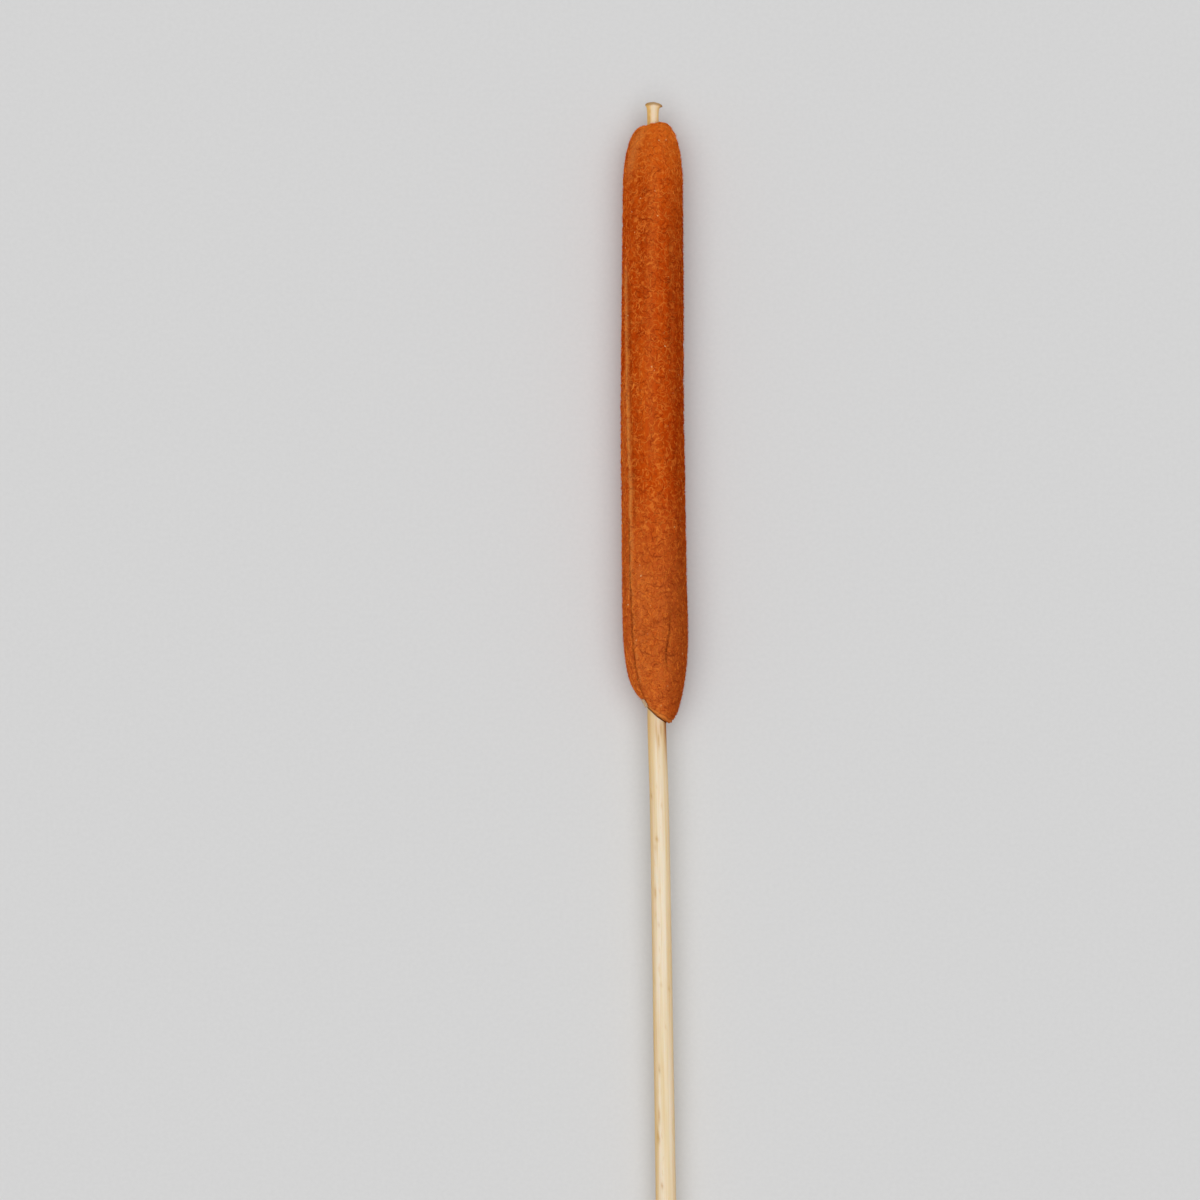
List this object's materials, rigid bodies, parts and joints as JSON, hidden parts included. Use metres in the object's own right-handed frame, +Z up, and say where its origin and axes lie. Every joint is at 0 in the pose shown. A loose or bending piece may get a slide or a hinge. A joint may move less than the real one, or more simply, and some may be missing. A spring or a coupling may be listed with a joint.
{
  "type": "cattail stalk",
  "caption": "Dried cattail stalk lying on its side: a long felted brown seed head grown round a slim straw-coloured stem, with a bare stub at the tip and a straight cut foot.",
  "frame": {"origin": "on the surface the stalk lies on, under the middle of its bounding box", "axes": "+Y along the stalk towards the bare tip, -Y towards the cut foot, +Z up from the surface, +X to the side that the stem bows towards"},
  "size_m": [0.0202, 0.55, 0.0186],
  "materials": {
    "felted_head": "dense caramel-brown seed down, like short velvet, matt with a soft sheen at grazing angles",
    "straw_stem": "dry straw-coloured rind, smooth and satin, with faint lengthwise fibres and small scars"
  },
  "bodies": {
    "root": {"seed_head": "felted_head", "stem": "straw_stem"}
  },
  "joints": []
}
